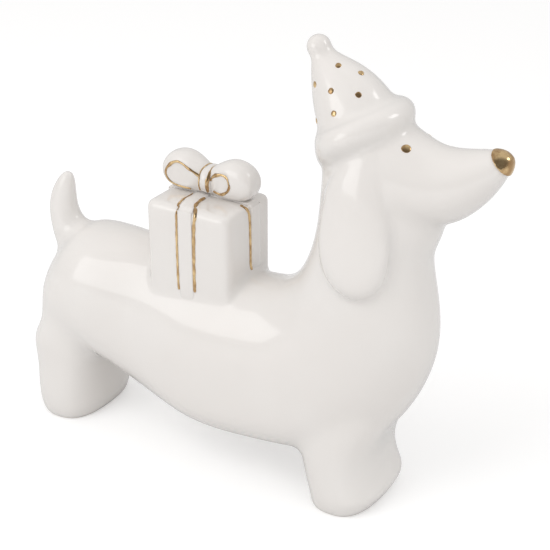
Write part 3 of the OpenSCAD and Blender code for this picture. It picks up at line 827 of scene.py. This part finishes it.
# Gold lines on the ribbons
# Lines of lustre drawn along the edges of the bands with a fine liner brush, uneven in width and cover.
MM = 0.001
STROKE_T = 0.0001
STROKE_LIFT = 0.00002
BEAD = 0.00022


def brushed(points, width, surface, seed):
    """One brush stroke through places in millimetres, laid on a surface and thickest in its middle."""
    line = [row[0] for row in smoothed([(Vector(point) * MM,) for point in points], 6)]
    uneven = random.Random(seed)
    waves = [
        (uneven.uniform(0.05, 0.16), uneven.uniform(900, 2600), uneven.uniform(0, 6.28)) for _ in range(4)]
    bpy.ops.mesh.primitive_grid_add(x_subdivisions=len(line) - 1, y_subdivisions=4, size=2)
    stroke = bpy.context.object
    stroke.name = "stroke"
    total = sum((b - a).length for a, b in zip(line, line[1:]))
    walked = 0.0
    columns = {}
    for v in stroke.data.vertices:
        columns.setdefault(round((v.co.x + 1) / 2 * (len(line) - 1)), []).append(v)
    for i, place in enumerate(line):
        if i:
            walked += (place - line[i - 1]).length
        tangent = (line[min(i + 1, len(line) - 1)] - line[max(i - 1, 0)]).normalized()
        found, normal, _, _ = surface.find_nearest(place)
        across = normal.cross(tangent).normalized()
        share = walked / total
        taper = min(1.0, 0.35 + math.sqrt(max(0.0, min(share, 1 - share) * total / width)))
        spread = width / 2 * taper * (1 + sum(s * math.sin(walked * f + o) for s, f, o in waves))
        for v in columns[i]:
            side = v.co.y
            aim = found + across * (side * spread)
            lying, out, _, _ = surface.find_nearest(aim)
            v.co = lying + out * (STROKE_LIFT + BEAD * (1 - side * side))
    finish_with(stroke, "SOLIDIFY", thickness=STROKE_T, offset=1)
    finish_with(stroke, "SUBSURF", levels=1, render_levels=1)
    return stroke


def joined(name, strokes):
    """All the strokes as one piece."""
    bpy.ops.object.select_all(action="DESELECT")
    for stroke in strokes:
        stroke.select_set(True)
    bpy.context.view_layer.objects.active = strokes[0]
    bpy.ops.object.join()
    bpy.context.object.name = name
    bpy.ops.object.mode_set(mode="EDIT")
    bpy.ops.mesh.select_all(action="SELECT")
    bpy.ops.mesh.normals_make_consistent(inside=False)
    bpy.ops.object.mode_set(mode="OBJECT")
    bpy.ops.object.shade_smooth()
    return bpy.context.object


box_surface = surface_of(pieces["gift_box"], ribbon_along, ribbon_across)
# Width of each line in metres and the places it runs through in millimetres
RIBBON_STROKES = [
    (0.0008, [(-21.2, -1.8, 93), (-21.7, -4.5, 93), (-21.7, -6.6, 93), (-21.0, -9.6, 93),
              (-20.1, -12.4, 92.5), (-19.9, -13.1, 90.2), (-20.0, -13.1, 86), (-20.1, -13.1, 81),
              (-20.1, -13.1, 72), (-20.0, -13.1, 66), (-19.8, -13.1, 63.4)]),
    (0.0012, [(-15.7, -2.4, 93), (-15.7, -4.4, 93), (-15.5, -6.6, 93), (-14.5, -9.6, 93),
              (-13.3, -12.3, 92.5), (-12.9, -13.1, 90.6), (-13.3, -13.1, 87.5), (-13.6, -13.1, 79),
              (-13.7, -13.1, 73), (-13.7, -13.1, 67), (-13.6, -13.1, 64.0)]),
    (0.0012, [(-3.4, -0.9, 92.9), (-2.0, -1.1, 92.7), (-1.0, -0.8, 91.8), (-0.5, -0.3, 89.6),
              (-0.4, 0.1, 86), (-0.4, 0.2, 82), (-0.4, 0.3, 78), (-0.4, 0.3, 73), (-0.4, 0.3, 69.6)]),
    (0.0009, [(-20.0, 7.6, 93), (-20.4, 9.6, 93), (-20.2, 12.4, 92.6), (-20.0, 13.1, 90.5),
              (-20.0, 13.1, 80), (-20.1, 13.1, 70), (-20.1, 13.1, 64)]),
    (0.0009, [(-14.0, 7.6, 93), (-13.6, 9.8, 93), (-13.4, 12.4, 92.6), (-13.3, 13.1, 90.5),
              (-13.5, 13.1, 80), (-13.6, 13.1, 70), (-13.5, 13.1, 64)]),
    (0.0010, [(-32.2, 0.0, 91.0), (-32.4, 0.1, 88), (-32.4, 0.2, 80), (-32.4, 0.2, 72.5)])]
ribbon_lines = joined("brushed_ribbon_lines", [
    brushed(points, width, box_surface, 100 + i) for i, (width, points) in enumerate(RIBBON_STROKES)])
gilded(ribbon_lines, "ribbon_lines")

# Gold lines on the bow
# One line round the dished side of each loop, drawn in the same way as those on the ribbons.
REAR_LINE = [
    (-18.9, 99.2), (-21.0, 100.4), (-22.8, 101.2), (-25.0, 102.4), (-27.2, 102.7), (-29.7, 101.4),
    (-31.4, 98.7), (-31.0, 96.5), (-29.8, 95.1), (-27.7, 94.4), (-24.9, 94.0), (-22.1, 93.9)]
FRONT_LINE = [
    (-14.5, 98.6), (-13.7, 99.9), (-12.3, 100.9), (-10.3, 101.5), (-8.4, 101.1), (-7.3, 100.2),
    (-6.5, 98.5), (-7.4, 96.7), (-8.8, 95.5), (-10.6, 94.7), (-12.3, 94.8), (-13.5, 95.0)]
loop_surfaces = surface_of(loop_rear), surface_of(loop_front)
bow_strokes = []
for side in (-1, 1):
    across = (RIBBON_AT[1] + side * (BOW_W / 2 - DISH)) / MM
    for k, (line, width) in enumerate(((REAR_LINE, 0.0009), (FRONT_LINE, 0.0010))):
        bow_strokes.append(brushed(
            [(x, across, z) for x, z in line], width, loop_surfaces[k], 200 + 2 * side + k))
bow_lines = joined("brushed_bow_lines", bow_strokes)
gilded(bow_lines, "bow_lines")

# Gold lines on the knot
# One line over each edge of the knot, the one towards the nose twice as broad.
knot_surface = surface_of(knot)
KNOT_STROKES = [
    (0.0007, [(-18.5, -2.5, 94.2), (-18.5, -2.7, 96.5), (-18.4, -2.4, 99.0), (-18.3, 0, 101.4),
              (-18.3, 2.6, 102.1), (-18.3, 5.2, 101.4), (-18.3, 7.6, 99.0), (-18.4, 7.9, 96.5),
              (-18.3, 7.8, 94.2)]),
    (0.0012, [(-15.0, -2.5, 93.8), (-15.0, -2.7, 96.5), (-15.0, -2.2, 99.0), (-14.9, 0, 101.4),
              (-14.8, 2.6, 102.1), (-14.9, 5.2, 101.4), (-15.0, 7.4, 99.0), (-15.0, 7.8, 96.5),
              (-14.9, 7.6, 94.2)])]
knot_lines = joined("brushed_knot_lines", [
    brushed(points, width, knot_surface, 300 + i) for i, (width, points) in enumerate(KNOT_STROKES)])
gilded(knot_lines, "knot_lines")

for form in clay.values():
    bpy.data.objects.remove(form)

# Floor, light and camera
# White paper floor under two soft lights, a stronger one above the tail side and a weaker one at the nose.
# A softbox and a small window light nothing and are seen only as reflections in the glaze and the gold.
FLOOR_SIZE = 8
bpy.ops.mesh.primitive_plane_add(size=FLOOR_SIZE)
floor = bpy.context.object
floor.name = "floor"
paper = Finish("white paper")
seen = paper.add("ShaderNodeLightPath", {}, {}, "Is Camera Ray")
floor.data.materials.append(paper.finish(
    Base_Color=(0.80, 0.80, 0.80, 1), Roughness=0.9,
    Emission_Color=paper.mixed(seen, (0, 0, 0), (1, 1, 1)), Emission_Strength=0.30))

world = bpy.data.worlds.new("studio")
bpy.context.scene.world = world
world.use_nodes = True
tree = world.node_tree
rays = tree.nodes.new("ShaderNodeLightPath")
seen = tree.nodes.new("ShaderNodeMath")
seen.operation = "MAXIMUM"
tree.links.new(rays.outputs["Is Camera Ray"], seen.inputs[0])
tree.links.new(rays.outputs["Is Transmission Ray"], seen.inputs[1])
walls = tree.nodes["Background"]
walls.inputs["Color"].default_value = (0.79, 0.783, 0.778, 1)

# The room behind the photographer is dark, so the glaze and the gold mirror a dimmer wall there
DARK_SIDE = (0.468, -0.764, 0.443)
dim = tree.nodes.new("ShaderNodeBackground")
dim.inputs["Color"].default_value = (1.0, 0.985, 0.97, 1)
way_out = tree.nodes.new("ShaderNodeTexCoord")
facing = tree.nodes.new("ShaderNodeVectorMath")
facing.operation = "DOT_PRODUCT"
facing.inputs[1].default_value = DARK_SIDE
tree.links.new(way_out.outputs["Generated"], facing.inputs[0])
shade = tree.nodes.new("ShaderNodeMapRange")
shade.interpolation_type = "SMOOTHSTEP"
for name, value in {"From Min": 0.35, "From Max": 0.85, "To Min": 0.62, "To Max": 0.20}.items():
    shade.inputs[name].default_value = value
tree.links.new(facing.outputs["Value"], shade.inputs["Value"])
tree.links.new(shade.outputs["Result"], dim.inputs["Strength"])
white = tree.nodes.new("ShaderNodeBackground")
white.inputs["Color"].default_value = (1, 1, 1, 1)
mirrored = tree.nodes.new("ShaderNodeMixShader")
tree.links.new(rays.outputs["Is Glossy Ray"], mirrored.inputs["Fac"])
tree.links.new(walls.outputs[0], mirrored.inputs[1])
tree.links.new(dim.outputs[0], mirrored.inputs[2])
either = tree.nodes.new("ShaderNodeMixShader")
tree.links.new(seen.outputs[0], either.inputs["Fac"])
tree.links.new(mirrored.outputs[0], either.inputs[1])
tree.links.new(white.outputs[0], either.inputs[2])
tree.links.new(either.outputs[0], tree.nodes["World Output"].inputs["Surface"])

AIM = Vector((0.00879, 0, 0.07056))
LIGHT_AWAY = 0.75
# Name, direction, width and height in metres, power in watts, and whether it lights or is only mirrored
for name, way, width, tall, power, soft in (
        ("wide soft light", (-0.30, -0.62, 0.70), 0.50, 0.50, 1.77, True),
        ("soft light at the nose side", (0.85, -0.30, 0.45), 0.50, 0.50, 0.67, True),
        ("softbox at the tail side", (-0.44, -0.80, 0.27), 0.42, 0.42, 0.60, False),
        ("window at the nose side", (0.68, 0.27, 0.66), 0.22, 0.24, 0.42, False)):
    lamp = bpy.data.lights.new(name, "AREA")
    lamp.shape = "RECTANGLE"
    lamp.size = width
    lamp.size_y = tall
    lamp.energy = power
    light = bpy.data.objects.new(name, lamp)
    bpy.context.collection.objects.link(light)
    light.visible_glossy = not soft
    light.visible_diffuse = soft
    light.location = AIM + Vector(way).normalized() * LIGHT_AWAY
    light.rotation_euler = (AIM - light.location).to_track_quat("-Z", "Y").to_euler()

CAMERA_AT = (0.21865, -0.3424, 0.2691)
lens = bpy.data.cameras.new("camera")
lens.lens = 91.64
lens.sensor_width = 36
camera = bpy.data.objects.new("camera", lens)
bpy.context.collection.objects.link(camera)
camera.location = CAMERA_AT
camera.rotation_euler = (AIM - camera.location).to_track_quat("-Z", "Y").to_euler()
bpy.context.scene.camera = camera
bpy.context.scene.view_settings.view_transform = "Standard"
